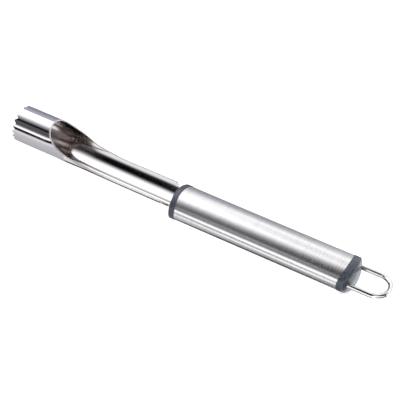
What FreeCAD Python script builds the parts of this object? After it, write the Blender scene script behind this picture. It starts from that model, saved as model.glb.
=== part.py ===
import FreeCAD, Part
import math
import os
import Sketcher

# An apple corer: a serrated steel tube, scooped open into a trough, in an oval steel handle
# with a plastic collar, a plastic cap and a wire loop to hang it by.
#
# The tool lies along X, teeth towards -X and loop towards +X. Y is across it and Z is up.
# Each body is drawn with x = 0 at the tips of the teeth. The blade is drawn with z = 0 on the
# axis of its tube, the other pieces with z = 0 on the axis of the handle. The placements then
# put the origin at the middle of the whole length, on the surface that the handle lies on.

# Driving dimensions in millimetres and degrees: alias, value, what it is
SIZES = (
    ("head_diameter", 20.0, "outside diameter of the cutting tube"),
    ("sheet_thickness", 0.8, "thickness of the blade's steel sheet"),
    ("tooth_count", 20, "teeth round the mouth of the tube"),
    ("tooth_depth", 1.6, "depth of the notches between the teeth"),
    ("tooth_flat", 0.15, "width left at the tip of a tooth, inside the tube"),
    ("scoop_start", 20.5, "from the tips of the teeth to the front of the scoop"),
    ("scoop_entry", 60.0, "how steeply the scoop's rim drops at its front, in degrees"),
    ("scoop_radius", 23.7, "side-view radius of the scoop's rim"),
    ("runout_radius", 136.0, "side-view radius of the rim where it runs out into the neck"),
    ("edge_drop", 4.0, "trough's edges below the axis of the tube"),
    ("bend_start", 88.5, "from the tips of the teeth to the bend before the handle"),
    ("bend_angle", 16.0, "slope of the bend before the handle, in degrees"),
    ("bend_rise", 1.3, "how far the bend lifts the tang"),
    ("shoulder_start", 90.6, "from the tips of the teeth to the rounded shoulders"),
    ("shoulder_radius", 2.0, "rounding of the shoulders"),
    ("shoulder_slope", 42.0, "how far a shoulder turns inwards, in degrees"),
    ("tang_width", 12.4, "width of the tang"),
    ("tang_length", 22.0, "length of the tang inside the handle"),
    ("lock_diameter", 5.0, "hole in the tang that the collar's plastic fills"),
    ("lock_inset", 7.0, "from the tang's end to the middle of that hole"),
    ("axis_rise", 8.0, "axis of the tube above the axis of the handle"),
    ("handle_width", 22.3, "width of the oval handle"),
    ("handle_height", 14.8, "height of the oval handle"),
    ("handle_start", 96.9, "from the tips of the teeth to the front of the collar"),
    ("end_bulge", 1.5, "how far the arcs at the handle's ends stand out at the middle"),
    ("collar_band", 2.7, "length of the collar that shows, along its middle"),
    ("sleeve_length", 95.0, "length of the steel sleeve along its middle"),
    ("sleeve_wall", 0.9, "wall of the steel sleeve"),
    ("cap_band", 5.3, "length of the cap that shows, along its middle"),
    ("dome_radius", 21.0, "radius of the cap's domed face"),
    ("proud", 0.2, "how far the collar and the cap stand out past the sleeve"),
    ("foot_width", 3.0, "width of the flats under the collar and the cap that the tool lies on"),
    ("collar_bevel", 0.75, "bevel round the collar's front edge"),
    ("cap_bevel", 0.4, "bevel round the cap's domed face"),
    ("plug_clearance", 0.05, "gap between a plug and the inside of the sleeve"),
    ("plug_root", 0.5, "how far a plug runs on into the solid end of its piece"),
    ("tang_cover", 8.7, "length of the collar's plug beyond the end of the tang"),
    ("cap_plug", 18.0, "length of the cap's plug inside the sleeve"),
    ("plug_chamfer", 0.8, "lead-in chamfer on the end of a plug"),
    ("wire_diameter", 2.7, "thickness of the loop's wire"),
    ("wire_clearance", 0.03, "gap between the wire and its hole"),
    ("leg_inset", 3.55, "from the handle's side to the middle of a leg of the loop"),
    ("loop_reach", 18.9, "how far the loop stands out past the middle of the cap"),
    ("leg_depth", 13.0, "length of a leg inside the cap"),
)

# Places that several pieces share, as expressions of the driving dimensions
SEAM_FRONT = "(Sizes.handle_start + Sizes.collar_band)"
SEAM_REAR = f"({SEAM_FRONT} + Sizes.sleeve_length)"
CAP_FACE = f"({SEAM_REAR} + Sizes.cap_band)"
LOOP_END = f"({CAP_FACE} + Sizes.loop_reach)"
END_RADIUS = "((Sizes.handle_width / 2)^2 + Sizes.end_bulge^2) / (2 * Sizes.end_bulge)"
OVAL_DIAGONAL = "sqrt((Sizes.handle_width / 2)^2 + (Sizes.handle_height / 2)^2)"
OVAL_EXCESS = "((Sizes.handle_width - Sizes.handle_height) / 2)"
SIDE_RADIUS = f"({OVAL_DIAGONAL} * ({OVAL_DIAGONAL} - {OVAL_EXCESS}) / Sizes.handle_width)"
FACE_RADIUS = f"({OVAL_DIAGONAL} * ({OVAL_DIAGONAL} + {OVAL_EXCESS}) / Sizes.handle_height)"
PROUD_RADIUS = f"({FACE_RADIUS} + Sizes.proud)"
FOOT_DEPTH = f"({PROUD_RADIUS} - sqrt({PROUD_RADIUS}^2 - (Sizes.foot_width / 2)^2))"
REST_HEIGHT = f"(Sizes.handle_height / 2 + Sizes.proud - {FOOT_DEPTH})"
NECK_EDGE = "sqrt((Sizes.head_diameter / 2)^2 - Sizes.edge_drop^2)"
BEND_RADIUS = "(Sizes.bend_rise / (2 * (1 - cos(Sizes.bend_angle * 1deg))))"
TANG_END = "(Sizes.handle_start + Sizes.tang_length)"
PLUG_END = f"({TANG_END} + Sizes.tang_cover)"
LEG_END = f"({CAP_FACE} - Sizes.leg_depth)"
LEG_PLACE = "(Sizes.handle_width / 2 - Sizes.leg_inset)"
LOOP_BEND = f"({LOOP_END} - Sizes.wire_diameter / 2 - {LEG_PLACE})"

# How far a cutting outline reaches past what it cuts
MARGIN = 3.0

# How near a point must be to a surface to count as lying on it
TOUCH = 0.01

value = {alias: number for alias, number, note in SIZES}


def make_sheet(doc):
    sheet = doc.addObject("Spreadsheet::Sheet", "Sizes")
    for row, (alias, number, note) in enumerate(SIZES, start=1):
        sheet.set(f"A{row}", alias)
        sheet.set(f"B{row}", str(number))
        sheet.set(f"C{row}", note)
        sheet.setAlias(f"B{row}", alias)
    return sheet


def make_body(doc, name, height):
    """A body whose drawing frame is moved to the part's own origin."""
    body = doc.addObject("PartDesign::Body", name)
    body.Label = name
    body.setExpression(".Placement.Base.x", f"-{LOOP_END} / 2")
    body.setExpression(".Placement.Base.z", height)
    return body


def origin_feature(body, role):
    return next(part for part in body.Origin.OriginFeatures if part.Role == role)


def make_sketch(body, name, plane, offset=None):
    """A sketch on one of the body's own origin planes, shifted along its normal by offset."""
    sketch = body.newObject("Sketcher::SketchObject", name)
    sketch.AttachmentSupport = [(origin_feature(body, plane), "")]
    sketch.MapMode = "FlatFace"
    if offset:
        sketch.setExpression(".AttachmentOffset.Base.z", offset)
    return sketch


def point(x, y):
    return FreeCAD.Vector(x, y, 0)


def dimension(sketch, name, expression, kind, *places):
    """A named constraint whose size follows the sheet. The last of places is its first guess."""
    index = sketch.addConstraint(Sketcher.Constraint(kind, *places))
    sketch.renameConstraint(index, name)
    sketch.setExpression(f"Constraints.{name}", expression)


def relate(sketch, kind, *places):
    sketch.addConstraint(Sketcher.Constraint(kind, *places))


def join_ends(sketch, *pairs):
    for first, first_end, second, second_end in pairs:
        relate(sketch, "Coincident", first, first_end, second, second_end)


def arc(centre, radius, start, end):
    """An arc from start to end, counter-clockwise, in degrees."""
    circle = Part.Circle(centre, FreeCAD.Vector(0, 0, 1), radius)
    return Part.ArcOfCircle(circle, math.radians(start), math.radians(end))


def on_circle(centre, radius, angle):
    turn = math.radians(angle)
    return point(centre.x + radius * math.cos(turn), centre.y + radius * math.sin(turn))


def add_feature(body, kind, name, **settings):
    feature = body.newObject(f"PartDesign::{kind}", name)
    for key, setting in settings.items():
        setattr(feature, key, setting)
    return feature


def oval_radii():
    """Radii of the small arcs on the oval's sides and of the large ones above and below."""
    half_width = value["handle_width"] / 2
    half_height = value["handle_height"] / 2
    diagonal = math.hypot(half_width, half_height)
    excess = half_width - half_height
    side_radius = diagonal * (diagonal - excess) / (2 * half_width)
    face_radius = diagonal * (diagonal + excess) / (2 * half_height)
    return side_radius, face_radius


def oval_sketch(body, name, inset, offset):
    """The handle's oval, smaller by inset all round, on a plane across the tool.

    It is the four-centre oval of the drawing board: a small arc on each side and a large one
    above and below, tangent to each other, worked out from its width and height alone.
    """
    sketch = make_sketch(body, name, "YZ_Plane", offset)
    half_width = value["handle_width"] / 2
    half_height = value["handle_height"] / 2
    side_radius, face_radius = oval_radii()
    across = half_width - side_radius
    up = face_radius - half_height
    turn = math.degrees(math.atan2(up, across))
    sketch.addGeometry(arc(point(across, 0), side_radius, -turn, turn))
    sketch.addGeometry(arc(point(0, -up), face_radius, turn, 180 - turn))
    sketch.addGeometry(arc(point(-across, 0), side_radius, 180 - turn, 180 + turn))
    sketch.addGeometry(arc(point(0, up), face_radius, 180 + turn, 360 - turn))
    relate(sketch, "Tangent", 0, 2, 1, 1)
    join_ends(sketch, (1, 2, 2, 1), (2, 2, 3, 1), (3, 2, 0, 1))
    relate(sketch, "PointOnObject", 0, 3, -1)
    relate(sketch, "PointOnObject", 1, 3, -2)
    relate(sketch, "PointOnObject", 2, 3, -1)
    relate(sketch, "Vertical", 0, 1, 0, 2)
    relate(sketch, "Horizontal", 1, 1, 1, 2)
    relate(sketch, "Vertical", 2, 1, 2, 2)
    relate(sketch, "Equal", 0, 2)
    relate(sketch, "Equal", 1, 3)
    dimension(sketch, "side_radius", f"{SIDE_RADIUS} - ({inset})", "Radius", 0, side_radius)
    dimension(sketch, "face_radius", f"{FACE_RADIUS} - ({inset})", "Radius", 1, face_radius)
    dimension(sketch, "side_place", f"Sizes.handle_width / 2 - {SIDE_RADIUS}",
              "DistanceX", -1, 1, 0, 3, across)
    return sketch


def trim_end(body, name, tip, first_tip, side):
    """Cuts an oval bar to a shallow arc, seen from above, that stands out by end_bulge.

    side is -1 for a front end and 1 for a rear end. tip is the arc's outermost x.
    """
    half_width = value["handle_width"] / 2
    bulge = value["end_bulge"]
    radius = (half_width ** 2 + bulge ** 2) / (2 * bulge)
    reach = half_width + MARGIN
    centre = point(first_tip - side * radius, 0)
    turn = math.degrees(math.asin(reach / radius))
    middle = 0 if side > 0 else 180
    sketch = make_sketch(body, f"{name}_outline", "XY_Plane")
    sketch.addGeometry(arc(centre, radius, middle - turn, middle + turn))
    low = on_circle(centre, radius, middle - turn)
    high = on_circle(centre, radius, middle + turn)
    outer = first_tip + side * MARGIN
    sketch.addGeometry(Part.LineSegment(low, point(outer, low.y)))
    sketch.addGeometry(Part.LineSegment(point(outer, low.y), point(outer, high.y)))
    sketch.addGeometry(Part.LineSegment(point(outer, high.y), high))
    join_ends(sketch, (0, 1, 1, 1), (1, 2, 2, 1), (2, 2, 3, 1), (3, 2, 0, 2))
    relate(sketch, "Horizontal", 1)
    relate(sketch, "Horizontal", 3)
    relate(sketch, "Vertical", 2)
    relate(sketch, "PointOnObject", 0, 3, -1)
    dimension(sketch, "end_radius", END_RADIUS, "Radius", 0, radius)
    dimension(sketch, "centre_place", f"{tip} - {side} * {END_RADIUS}",
              "DistanceX", -1, 1, 0, 3, centre.x)
    dimension(sketch, "reach", f"Sizes.handle_width + 2 * {MARGIN}",
              "DistanceY", *((2, 1, 2, 2) if side > 0 else (2, 2, 2, 1)), 2 * reach)
    dimension(sketch, "outer_place", f"{tip} + {side} * {MARGIN}",
              "DistanceX", -1, 1, 2, 1, outer)
    return add_feature(body, "Pocket", name, Profile=sketch, Type="ThroughAll", Midplane=True)


def edges_near(shape, test):
    """Names of the edges whose every sampled point passes the test."""
    names = []
    for index, edge in enumerate(shape.Edges, start=1):
        if not edge.Degenerated and all(test(place) for place in edge.discretize(9)):
            names.append(f"Edge{index}")
    return names


def ring_sketch(body, name):
    """The tube's wall, seen along the tool."""
    outer = value["head_diameter"] / 2
    inner = outer - value["sheet_thickness"]
    sketch = make_sketch(body, name, "YZ_Plane")
    for radius in (outer, inner):
        sketch.addGeometry(Part.Circle(point(0, 0), FreeCAD.Vector(0, 0, 1), radius))
    relate(sketch, "Coincident", 0, 3, -1, 1)
    relate(sketch, "Coincident", 1, 3, -1, 1)
    dimension(sketch, "outer_radius", "Sizes.head_diameter / 2", "Radius", 0, outer)
    dimension(sketch, "inner_radius", "Sizes.head_diameter / 2 - Sizes.sheet_thickness",
              "Radius", 1, inner)
    return sketch


def notch_sketch(body):
    """The triangle between two teeth at the top of the tube, seen from above."""
    depth = value["tooth_depth"]
    pitch = "2 * pi * (Sizes.head_diameter / 2 - Sizes.sheet_thickness) / Sizes.tooth_count"
    mouth = f"({pitch} - Sizes.tooth_flat)"
    inner = value["head_diameter"] / 2 - value["sheet_thickness"]
    first_mouth = 2 * math.pi * inner / value["tooth_count"] - value["tooth_flat"]
    base = first_mouth * (depth + MARGIN) / depth
    sketch = make_sketch(body, "notch_outline", "XY_Plane")
    corners = (point(depth, 0), point(-MARGIN, base / 2), point(-MARGIN, -base / 2))
    for start, end in zip(corners, corners[1:] + corners[:1]):
        sketch.addGeometry(Part.LineSegment(start, end))
    join_ends(sketch, (0, 2, 1, 1), (1, 2, 2, 1), (2, 2, 0, 1))
    relate(sketch, "PointOnObject", 0, 1, -1)
    relate(sketch, "Symmetric", 1, 1, 1, 2, -1)
    dimension(sketch, "depth", "Sizes.tooth_depth", "DistanceX", -1, 1, 0, 1, depth)
    dimension(sketch, "lead", str(MARGIN), "DistanceX", 1, 1, -1, 1, MARGIN)
    dimension(sketch, "base", f"{mouth} * (Sizes.tooth_depth + {MARGIN}) / Sizes.tooth_depth",
              "DistanceY", 1, 2, 1, 1, base)
    return sketch


def scoop_sketch(body):
    """All that is cut away above the rim of the scoop and the edges of the trough, side view.

    The rim is two arcs: a steep one from the top of the tube, then a long one that runs out
    level into the neck's edges.
    """
    top = value["head_diameter"] / 2
    entry = value["scoop_entry"]
    radius = value["scoop_radius"]
    runout = value["runout_radius"]
    drop = value["edge_drop"]
    start = point(value["scoop_start"], top)
    steep_centre = on_circle(start, radius, 90 - entry)
    join_height = steep_centre.y + drop
    join_turn = math.degrees(math.acos((runout - join_height) / (runout - radius)))
    joint = on_circle(steep_centre, radius, 270 - join_turn)
    long_centre = on_circle(joint, runout, 90 - join_turn)
    level = point(long_centre.x, -drop)
    lead = on_circle(start, MARGIN, 180 - entry)
    end = value["bend_start"] + MARGIN

    sketch = make_sketch(body, "scoop_outline", "XZ_Plane")
    sketch.addGeometry(arc(steep_centre, radius, 270 - entry, 270 - join_turn))
    sketch.addGeometry(arc(long_centre, runout, 270 - join_turn, 270))
    sketch.addGeometry(Part.LineSegment(level, point(end, -drop)))
    sketch.addGeometry(Part.LineSegment(point(end, -drop), point(end, lead.y)))
    sketch.addGeometry(Part.LineSegment(point(end, lead.y), lead))
    sketch.addGeometry(Part.LineSegment(start, lead))
    relate(sketch, "Tangent", 0, 2, 1, 1)
    relate(sketch, "Tangent", 1, 2, 2, 1)
    relate(sketch, "Tangent", 5, 1, 0, 1)
    join_ends(sketch, (2, 2, 3, 1), (3, 2, 4, 1), (4, 2, 5, 2))
    relate(sketch, "Horizontal", 2)
    relate(sketch, "Vertical", 3)
    relate(sketch, "Horizontal", 4)
    dimension(sketch, "rim_radius", "Sizes.scoop_radius", "Radius", 0, radius)
    dimension(sketch, "runout", "Sizes.runout_radius", "Radius", 1, runout)
    dimension(sketch, "start_x", "Sizes.scoop_start", "DistanceX", -1, 1, 0, 1, start.x)
    dimension(sketch, "start_z", "Sizes.head_diameter / 2", "DistanceY", -1, 1, 0, 1, top)
    dimension(sketch, "edge", "Sizes.edge_drop", "DistanceY", 2, 1, -1, 1, drop)
    dimension(sketch, "end_x", f"Sizes.bend_start + {MARGIN}", "DistanceX", -1, 1, 3, 1, end)
    dimension(sketch, "entry", "(180 - Sizes.scoop_entry) * 1deg", "Angle", 5,
              math.radians(180 - entry))
    dimension(sketch, "lead_length", str(MARGIN), "Distance", 5, 1, 5, 2, MARGIN)
    return sketch


def trough_sketch(body):
    """The trough's section, at the start of the bend."""
    outer = value["head_diameter"] / 2
    inner = outer - value["sheet_thickness"]
    drop = value["edge_drop"]
    sketch = make_sketch(body, "trough_section", "YZ_Plane", "Sizes.bend_start")
    for radius in (outer, inner):
        edge = math.degrees(math.asin(drop / radius))
        sketch.addGeometry(arc(point(0, 0), radius, 180 + edge, 360 - edge))
    outer_edge = math.sqrt(outer ** 2 - drop ** 2)
    inner_edge = math.sqrt(inner ** 2 - drop ** 2)
    for side in (-1, 1):
        start = point(side * outer_edge, -drop)
        sketch.addGeometry(Part.LineSegment(start, point(side * inner_edge, -drop)))
    join_ends(sketch, (0, 1, 2, 1), (1, 1, 2, 2), (0, 2, 3, 1), (1, 2, 3, 2))
    relate(sketch, "Coincident", 0, 3, -1, 1)
    relate(sketch, "Coincident", 1, 3, -1, 1)
    relate(sketch, "Horizontal", 2)
    relate(sketch, "Horizontal", 3)
    dimension(sketch, "outer_radius", "Sizes.head_diameter / 2", "Radius", 0, outer)
    dimension(sketch, "inner_radius", "Sizes.head_diameter / 2 - Sizes.sheet_thickness",
              "Radius", 1, inner)
    dimension(sketch, "left_drop", "Sizes.edge_drop", "DistanceY", 2, 1, -1, 1, drop)
    dimension(sketch, "right_drop", "Sizes.edge_drop", "DistanceY", 3, 1, -1, 1, drop)
    return sketch


def bend_sketch(body):
    """The line along which the trough rises, in two arcs, and runs on straight as the tang."""
    rise = value["bend_rise"]
    angle = value["bend_angle"]
    radius = rise / (2 * (1 - math.cos(math.radians(angle))))
    floor = -value["head_diameter"] / 2 + value["sheet_thickness"] / 2
    start = point(value["bend_start"], floor)
    first_centre = on_circle(start, radius, 90)
    joint = on_circle(first_centre, radius, 270 + angle)
    second_centre = on_circle(joint, radius, 270 + angle)
    level = on_circle(second_centre, radius, 90)
    end = point(value["handle_start"] + value["tang_length"], level.y)
    sketch = make_sketch(body, "bend_line", "XZ_Plane")
    sketch.addGeometry(arc(first_centre, radius, 270, 270 + angle))
    sketch.addGeometry(arc(second_centre, radius, 90, 90 + angle))
    sketch.addGeometry(Part.LineSegment(level, end))
    relate(sketch, "Tangent", 0, 2, 1, 2)
    relate(sketch, "Tangent", 1, 1, 2, 1)
    relate(sketch, "Vertical", 0, 3, 0, 1)
    relate(sketch, "Horizontal", 2)
    relate(sketch, "Equal", 0, 1)
    dimension(sketch, "radius", BEND_RADIUS, "Radius", 0, radius)
    dimension(sketch, "rise", "Sizes.bend_rise", "DistanceY", 0, 1, 1, 1, rise)
    dimension(sketch, "start_x", "Sizes.bend_start", "DistanceX", -1, 1, 0, 1, start.x)
    dimension(sketch, "floor", "(Sizes.head_diameter - Sizes.sheet_thickness) / 2",
              "DistanceY", 0, 1, -1, 1, -floor)
    dimension(sketch, "end_x", TANG_END, "DistanceX", -1, 1, 2, 2, end.x)
    return sketch


def shoulder_sketch(body):
    """What is cut away beside the tang on one side, seen from above: a rounded shoulder."""
    start = value["shoulder_start"]
    radius = value["shoulder_radius"]
    slope = value["shoulder_slope"]
    tang = value["tang_width"] / 2
    edge = math.sqrt((value["head_diameter"] / 2) ** 2 - value["edge_drop"] ** 2)
    centre = point(start, edge - radius)
    turned = on_circle(centre, radius, 90 - slope)
    run = (turned.y - tang) / math.tan(math.radians(slope))
    foot = point(turned.x + run, tang)
    end = value["handle_start"] + value["tang_length"] + MARGIN
    corners = (turned, foot, point(end, tang), point(end, edge + MARGIN),
               point(start, edge + MARGIN), point(start, edge))
    sketch = make_sketch(body, "shoulder_outline", "XY_Plane")
    sketch.addGeometry(arc(centre, radius, 90 - slope, 90))
    for first, second in zip(corners, corners[1:]):
        sketch.addGeometry(Part.LineSegment(first, second))
    relate(sketch, "Tangent", 0, 1, 1, 1)
    join_ends(sketch, (1, 2, 2, 1), (2, 2, 3, 1), (3, 2, 4, 1), (4, 2, 5, 1), (5, 2, 0, 2))
    relate(sketch, "Vertical", 0, 3, 0, 2)
    for line in (2, 4):
        relate(sketch, "Horizontal", line)
    for line in (3, 5):
        relate(sketch, "Vertical", line)
    dimension(sketch, "rounding", "Sizes.shoulder_radius", "Radius", 0, radius)
    dimension(sketch, "slope", "-Sizes.shoulder_slope * 1deg", "Angle", 1, math.radians(-slope))
    dimension(sketch, "start_x", "Sizes.shoulder_start", "DistanceX", -1, 1, 0, 2, start)
    dimension(sketch, "edge_y", NECK_EDGE, "DistanceY", -1, 1, 0, 2, edge)
    dimension(sketch, "tang_y", "Sizes.tang_width / 2", "DistanceY", -1, 1, 2, 2, tang)
    dimension(sketch, "end_x", f"{TANG_END} + {MARGIN}", "DistanceX", -1, 1, 2, 2, end)
    dimension(sketch, "outer_y", f"{NECK_EDGE} + {MARGIN}", "DistanceY", -1, 1, 4, 1,
              edge + MARGIN)
    return sketch


def lock_sketch(body):
    """The hole in the tang."""
    place = value["handle_start"] + value["tang_length"] - value["lock_inset"]
    radius = value["lock_diameter"] / 2
    sketch = make_sketch(body, "lock_outline", "XY_Plane")
    sketch.addGeometry(Part.Circle(point(place, 0), FreeCAD.Vector(0, 0, 1), radius))
    relate(sketch, "PointOnObject", 0, 3, -1)
    dimension(sketch, "diameter", "Sizes.lock_diameter", "Diameter", 0, 2 * radius)
    dimension(sketch, "place", f"{TANG_END} - Sizes.lock_inset", "DistanceX", -1, 1, 0, 3, place)
    return sketch


def make_blade(doc):
    body = make_body(doc, "corer_blade", f"{REST_HEIGHT} + Sizes.axis_rise")
    tube = add_feature(body, "Pad", "tube", Profile=ring_sketch(body, "tube_section"))
    tube.setExpression("Length", "Sizes.bend_start")
    notch = add_feature(body, "Pocket", "notch", Profile=notch_sketch(body), Type="ThroughAll",
                        Reversed=True)
    teeth = add_feature(body, "PolarPattern", "teeth", Originals=[notch],
                        Axis=(origin_feature(body, "X_Axis"), [""]), Angle=360)
    teeth.setExpression("Occurrences", "Sizes.tooth_count")
    body.Tip = teeth
    doc.recompute()
    add_feature(body, "Pocket", "scoop", Profile=scoop_sketch(body), Type="ThroughAll",
                Midplane=True)
    neck = add_feature(body, "AdditivePipe", "neck_and_tang", Profile=trough_sketch(body))
    neck.Spine = (bend_sketch(body), ["Edge1", "Edge2", "Edge3"])
    shoulder = add_feature(body, "Pocket", "shoulder", Profile=shoulder_sketch(body),
                           Type="ThroughAll", Midplane=True)
    shoulders = add_feature(body, "Mirrored", "shoulders", Originals=[shoulder],
                            MirrorPlane=(origin_feature(body, "XZ_Plane"), [""]))
    body.Tip = shoulders
    doc.recompute()
    add_feature(body, "Pocket", "lock_hole", Profile=lock_sketch(body), Type="ThroughAll",
                Midplane=True)
    return body


def make_sleeve(doc):
    """The oval steel tube, with both ends cut to arcs."""
    body = make_body(doc, "handle_sleeve", REST_HEIGHT)
    front = value["handle_start"] + value["collar_band"]
    rear = front + value["sleeve_length"]
    bar = add_feature(body, "Pad", "sleeve_bar",
                      Profile=oval_sketch(body, "sleeve_oval", "0", SEAM_FRONT))
    bar.setExpression("Length", "Sizes.sleeve_length")
    add_feature(body, "Pocket", "hollow", Type="ThroughAll", Reversed=True,
                Profile=oval_sketch(body, "hollow_oval", "Sizes.sleeve_wall", SEAM_FRONT))
    trim_end(body, "sleeve_front", SEAM_FRONT, front, -1)
    trim_end(body, "sleeve_rear", SEAM_REAR, rear, 1)
    return body


def add_plug(body, name, start, end, side):
    """The part of a collar or cap that fills the sleeve, from x = start to x = end."""
    fit = "Sizes.sleeve_wall + Sizes.plug_clearance"
    plug = add_feature(body, "Pad", name, Profile=oval_sketch(body, f"{name}_oval", fit, start),
                       Reversed=side < 0)
    plug.setExpression("Length", f"{side} * ({end} - {start})")
    return plug


def seam_cut(body, name, tip, first_tip, side):
    """Hollows the inner face of a collar or cap to an arc that fits the sleeve's end.

    side is the side of the piece that its plug is on: 1 for the collar and -1 for the cap.
    """
    half_width = value["handle_width"] / 2
    bulge = value["end_bulge"]
    radius = (half_width ** 2 + bulge ** 2) / (2 * bulge)
    reach = half_width + MARGIN
    centre = point(first_tip + side * radius, 0)
    turn = math.degrees(math.asin(reach / radius))
    middle = 180 if side > 0 else 0
    sketch = make_sketch(body, f"{name}_outline", "XY_Plane")
    sketch.addGeometry(arc(centre, radius, middle - turn, middle + turn))
    low = on_circle(centre, radius, middle - turn)
    high = on_circle(centre, radius, middle + turn)
    sketch.addGeometry(Part.LineSegment(low, high))
    join_ends(sketch, (0, 1, 1, 1), (1, 2, 0, 2))
    relate(sketch, "Vertical", 1)
    relate(sketch, "PointOnObject", 0, 3, -1)
    dimension(sketch, "end_radius", END_RADIUS, "Radius", 0, radius)
    dimension(sketch, "centre_place", f"{tip} + {side} * {END_RADIUS}",
              "DistanceX", -1, 1, 0, 3, centre.x)
    dimension(sketch, "reach", f"Sizes.handle_width + 2 * {MARGIN}",
              "DistanceY", *((1, 2, 1, 1) if side > 0 else (1, 1, 1, 2)), 2 * reach)
    return add_feature(body, "Pocket", name, Profile=sketch, Type="ThroughAll", Midplane=True)


def on_front_arc(tip):
    """A test for places on a front face that is an arc, seen from above, outermost at x = tip."""
    half_width = value["handle_width"] / 2
    bulge = value["end_bulge"]
    radius = (half_width ** 2 + bulge ** 2) / (2 * bulge)

    def test(place):
        back = radius - math.sqrt(radius ** 2 - place.y ** 2)
        return abs(place.x - tip - back) < TOUCH
    return test


def on_dome(face):
    """A test for places on the cap's domed face, whose outermost x is at face."""
    radius = value["dome_radius"]

    def test(place):
        reach = math.sqrt(place.y ** 2 + place.z ** 2)
        return abs(place.x - face + radius - math.sqrt(radius ** 2 - reach ** 2)) < TOUCH
    return test


def bevel(body, name, size, test):
    """Bevels the edges of the body that pass the test, by the named size."""
    body.Document.recompute()
    base = body.Tip
    feature = add_feature(body, "Chamfer", name, Base=(base, edges_near(base.Shape, test)))
    feature.setExpression("Size", size)
    return feature


def foot_cut(body):
    """Cuts off what a collar or cap has below the surface that the tool lies on."""
    side_radius, face_radius = oval_radii()
    proud_radius = face_radius + value["proud"]
    depth = proud_radius - math.sqrt(proud_radius ** 2 - (value["foot_width"] / 2) ** 2)
    ground = depth - value["handle_height"] / 2 - value["proud"]
    length = (value["handle_start"] + value["collar_band"] + value["sleeve_length"]
              + value["cap_band"] + value["loop_reach"])
    corners = (point(0, ground), point(length, ground), point(length, ground - MARGIN),
               point(0, ground - MARGIN))
    sketch = make_sketch(body, "foot_outline", "XZ_Plane")
    for start, end in zip(corners, corners[1:] + corners[:1]):
        sketch.addGeometry(Part.LineSegment(start, end))
    join_ends(sketch, (0, 2, 1, 1), (1, 2, 2, 1), (2, 2, 3, 1), (3, 2, 0, 1))
    for line in (0, 2):
        relate(sketch, "Horizontal", line)
    for line in (1, 3):
        relate(sketch, "Vertical", line)
    relate(sketch, "PointOnObject", 0, 1, -2)
    dimension(sketch, "ground", REST_HEIGHT, "DistanceY", 0, 1, -1, 1, -ground)
    dimension(sketch, "depth", str(MARGIN), "DistanceY", 3, 1, 3, 2, MARGIN)
    dimension(sketch, "length", LOOP_END, "DistanceX", 0, 1, 0, 2, length)
    return add_feature(body, "Pocket", "foot", Profile=sketch, Type="ThroughAll", Midplane=True)


def make_collar(doc, blade):
    """The ring that closes the sleeve's front, with a plug moulded round the blade's tang."""
    body = make_body(doc, "collar_body", REST_HEIGHT)
    tip = value["handle_start"]
    seam = tip + value["collar_band"]
    plug_end = tip + value["tang_length"] + value["tang_cover"]
    outline = oval_sketch(body, "collar_oval", "-Sizes.proud", "Sizes.handle_start")
    ring = add_feature(body, "Pad", "collar_ring", Profile=outline)
    ring.setExpression("Length", "Sizes.collar_band + Sizes.end_bulge")
    trim_end(body, "collar_front", "Sizes.handle_start", tip, -1)
    seam_cut(body, "collar_seam", SEAM_FRONT, seam, 1)
    bevel(body, "front_bevel", "Sizes.collar_bevel", on_front_arc(tip))
    add_plug(body, "collar_plug", f"({SEAM_FRONT} - Sizes.plug_root)", PLUG_END, 1)
    bevel(body, "collar_lead", "Sizes.plug_chamfer",
          lambda place: abs(place.x - plug_end) < TOUCH)
    foot_cut(body)
    collar = doc.addObject("Part::Cut", "front_collar")
    collar.Label = "front_collar"
    collar.Base = body
    collar.Tool = blade
    return collar


def leg_sketch(body, name, offset, diameter, first_diameter, sides):
    """Circles where the loop's legs run, on a plane across the tool."""
    half = value["handle_width"] / 2 - value["leg_inset"]
    sketch = make_sketch(body, name, "YZ_Plane", offset)
    for index, side in enumerate(sides):
        centre = point(side * half, 0)
        sketch.addGeometry(Part.Circle(centre, FreeCAD.Vector(0, 0, 1), first_diameter / 2))
        relate(sketch, "PointOnObject", index, 3, -1)
        dimension(sketch, f"diameter_{index}", diameter, "Diameter", index, first_diameter)
        ends = (-1, 1, index, 3) if side > 0 else (index, 3, -1, 1)
        dimension(sketch, f"place_{index}", LEG_PLACE, "DistanceX", *ends, half)
    return sketch


def dome_sketch(body):
    """What is turned away outside the cap's domed face, seen from above."""
    half_width = value["handle_width"] / 2
    radius = value["dome_radius"]
    reach = half_width + MARGIN
    face = (value["handle_start"] + value["collar_band"] + value["sleeve_length"]
            + value["cap_band"])
    centre = point(face - radius, 0)
    low = point(centre.x + math.sqrt(radius ** 2 - reach ** 2), reach)
    outer = face + MARGIN
    sketch = make_sketch(body, "dome_outline", "XY_Plane")
    sketch.addGeometry(arc(centre, radius, 0, math.degrees(math.asin(reach / radius))))
    corners = (low, point(outer, reach), point(outer, 0), point(face, 0))
    for start, end in zip(corners, corners[1:]):
        sketch.addGeometry(Part.LineSegment(start, end))
    join_ends(sketch, (0, 2, 1, 1), (1, 2, 2, 1), (2, 2, 3, 1), (3, 2, 0, 1))
    relate(sketch, "Horizontal", 1)
    relate(sketch, "Vertical", 2)
    relate(sketch, "PointOnObject", 2, 2, -1)
    relate(sketch, "PointOnObject", 0, 1, -1)
    relate(sketch, "PointOnObject", 0, 3, -1)
    dimension(sketch, "dome", "Sizes.dome_radius", "Radius", 0, radius)
    dimension(sketch, "face_place", CAP_FACE, "DistanceX", -1, 1, 0, 1, face)
    dimension(sketch, "outer_place", f"{CAP_FACE} + {MARGIN}", "DistanceX", -1, 1, 2, 1, outer)
    dimension(sketch, "reach", f"Sizes.handle_width / 2 + {MARGIN}",
              "DistanceY", -1, 1, 0, 2, reach)
    return sketch


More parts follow.
